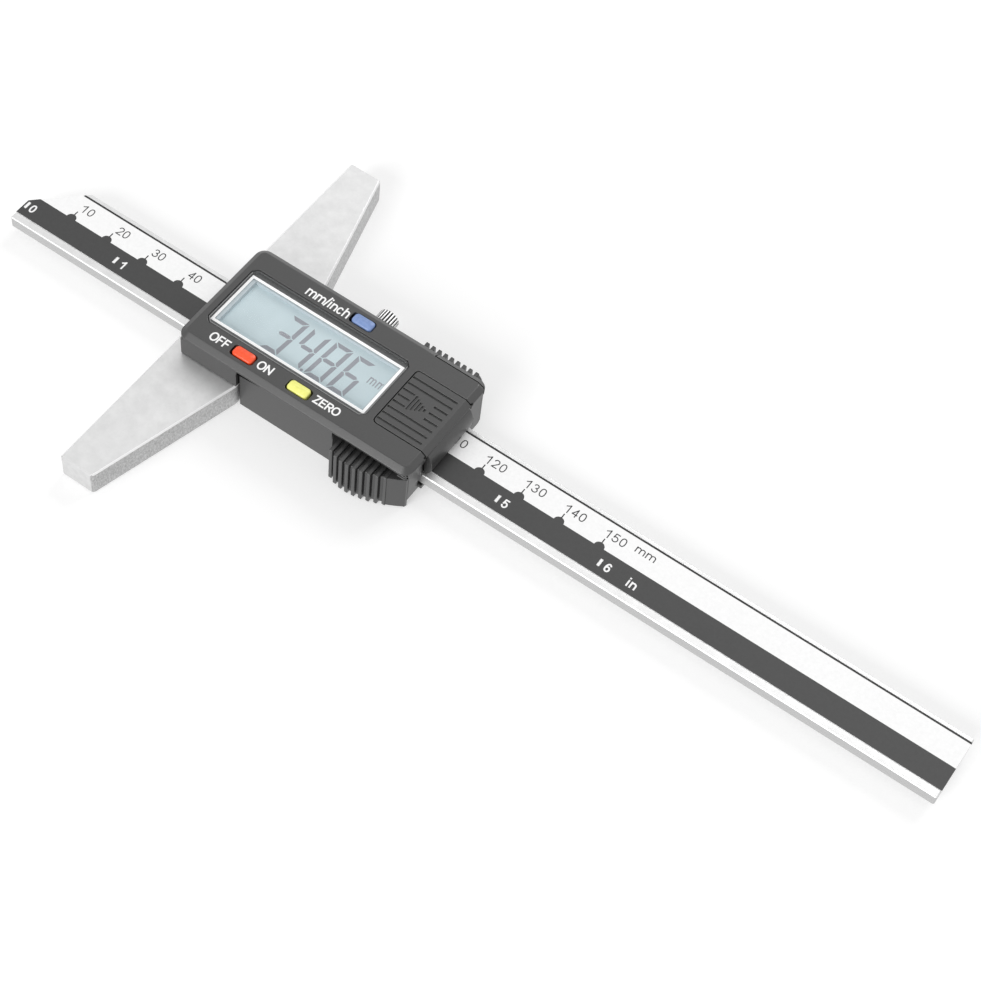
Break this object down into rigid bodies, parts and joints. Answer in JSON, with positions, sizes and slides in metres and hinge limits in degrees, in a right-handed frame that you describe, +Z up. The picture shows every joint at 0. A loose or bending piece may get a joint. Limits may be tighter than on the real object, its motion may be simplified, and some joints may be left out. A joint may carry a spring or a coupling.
{
  "type": "depth gauge",
  "caption": "Digital depth gauge: a steel bar with a scale slides through a ribbed plastic head with a display, over a wide flat measuring base.",
  "frame": {"origin": "on the plane that the base rests on, under the middle of the bar's length and width", "axes": "+X along the bar away from its measuring tip, +Y across the bar along the base, +Z up out of the display"},
  "size_m": [0.2346, 0.1006, 0.0143],
  "materials": {
    "base_steel": "ground hardened stainless steel, lapped on the measuring face",
    "beam_steel": "ground stainless steel, satin",
    "frame_steel": "satin steel",
    "lock_steel": "fluted and plated",
    "screws": "plated",
    "spring_metal": "bright spring steel",
    "battery_steel": "bright nickel-plated can",
    "brass": "machined",
    "casing": "fine matt moulding, dark grey",
    "label": "printed film, dark grey and white",
    "board": "glass-fibre laminate",
    "window": "clear acrylic, polished",
    "display": "liquid crystal glass, pale grey",
    "key_red": "orange red, satin",
    "key_yellow": "pale yellow, satin",
    "key_blue": "light blue, satin",
    "rubber": "silicone rubber",
    "chip": "black moulding resin"
  },
  "bodies": {
    "head": {"base": "base_steel", "slider_frame": "frame_steel", "gib_strip": "brass", "gib_screw_1": "screws", "gib_screw_2": "screws", "base_screw_1": "screws", "base_screw_2": "screws", "shell_screw_1": "screws", "shell_screw_2": "screws", "shell_screw_3": "screws", "shell_screw_4": "screws", "board_screw_1": "screws", "board_screw_2": "screws", "rear_shell": "casing", "front_shell": "casing", "window_lens": "window", "lcd_glass": "display", "display_strip_near": "rubber", "display_strip_far": "rubber", "keypad_near": "rubber", "keypad_far": "rubber", "circuit_board": "board", "reader_chip": "chip", "clock_crystal": "spring_metal", "battery": "battery_steel", "battery_contact_plus": "spring_metal", "battery_contact_minus": "spring_metal"},
    "bar": {"beam": "beam_steel", "scale_board": "board", "scale_label": "label", "beam_stop_screw": "screws"},
    "pad": {"lock_pad": "brass"},
    "lock": {"lock_screw": "lock_steel"},
    "off_on_key": {"off_on_button": "key_red"},
    "zero_key": {"zero_button": "key_yellow"},
    "unit_key": {"unit_button": "key_blue"},
    "battery_lid": {"battery_cover": "casing"},
    "port_lid": {"port_cover": "casing"}
  },
  "joints": [
    {"name": "bar_slide", "type": "slide", "parent": "head", "child": "bar", "axis": [-1, 0, 0], "range_m": [-0.0503, 0.0997]},
    {"name": "pad_slide", "type": "slide", "parent": "head", "child": "pad", "axis": [0, 1, 0], "range_m": [-0.00025, 0.001]},
    {"name": "lock_turn", "type": "hinge", "parent": "pad", "child": "lock", "pos_m": [-0.03555, 0.0155, 0.00365], "axis": [0, 1, 0], "range_deg": [-180, 720]},
    {"name": "off_on_press", "type": "slide", "parent": "head", "child": "off_on_key", "axis": [0, 0, -1], "range_m": [0, 0.0005], "stiffness_N_per_m": 1000},
    {"name": "zero_press", "type": "slide", "parent": "head", "child": "zero_key", "axis": [0, 0, -1], "range_m": [0, 0.0005], "stiffness_N_per_m": 1000},
    {"name": "unit_press", "type": "slide", "parent": "head", "child": "unit_key", "axis": [0, 0, -1], "range_m": [0, 0.0005], "stiffness_N_per_m": 1000},
    {"name": "battery_cover_slide", "type": "slide", "parent": "head", "child": "battery_lid", "axis": [1, 0, 0], "range_m": [0, 0.015]},
    {"name": "port_cover_slide", "type": "slide", "parent": "head", "child": "port_lid", "axis": [1, 0, 0], "range_m": [0, 0.0125]}
  ],
  "couplings": [
    {"joint": "lock_turn", "follows": "pad_slide", "rad_per_m": 12566}
  ]
}
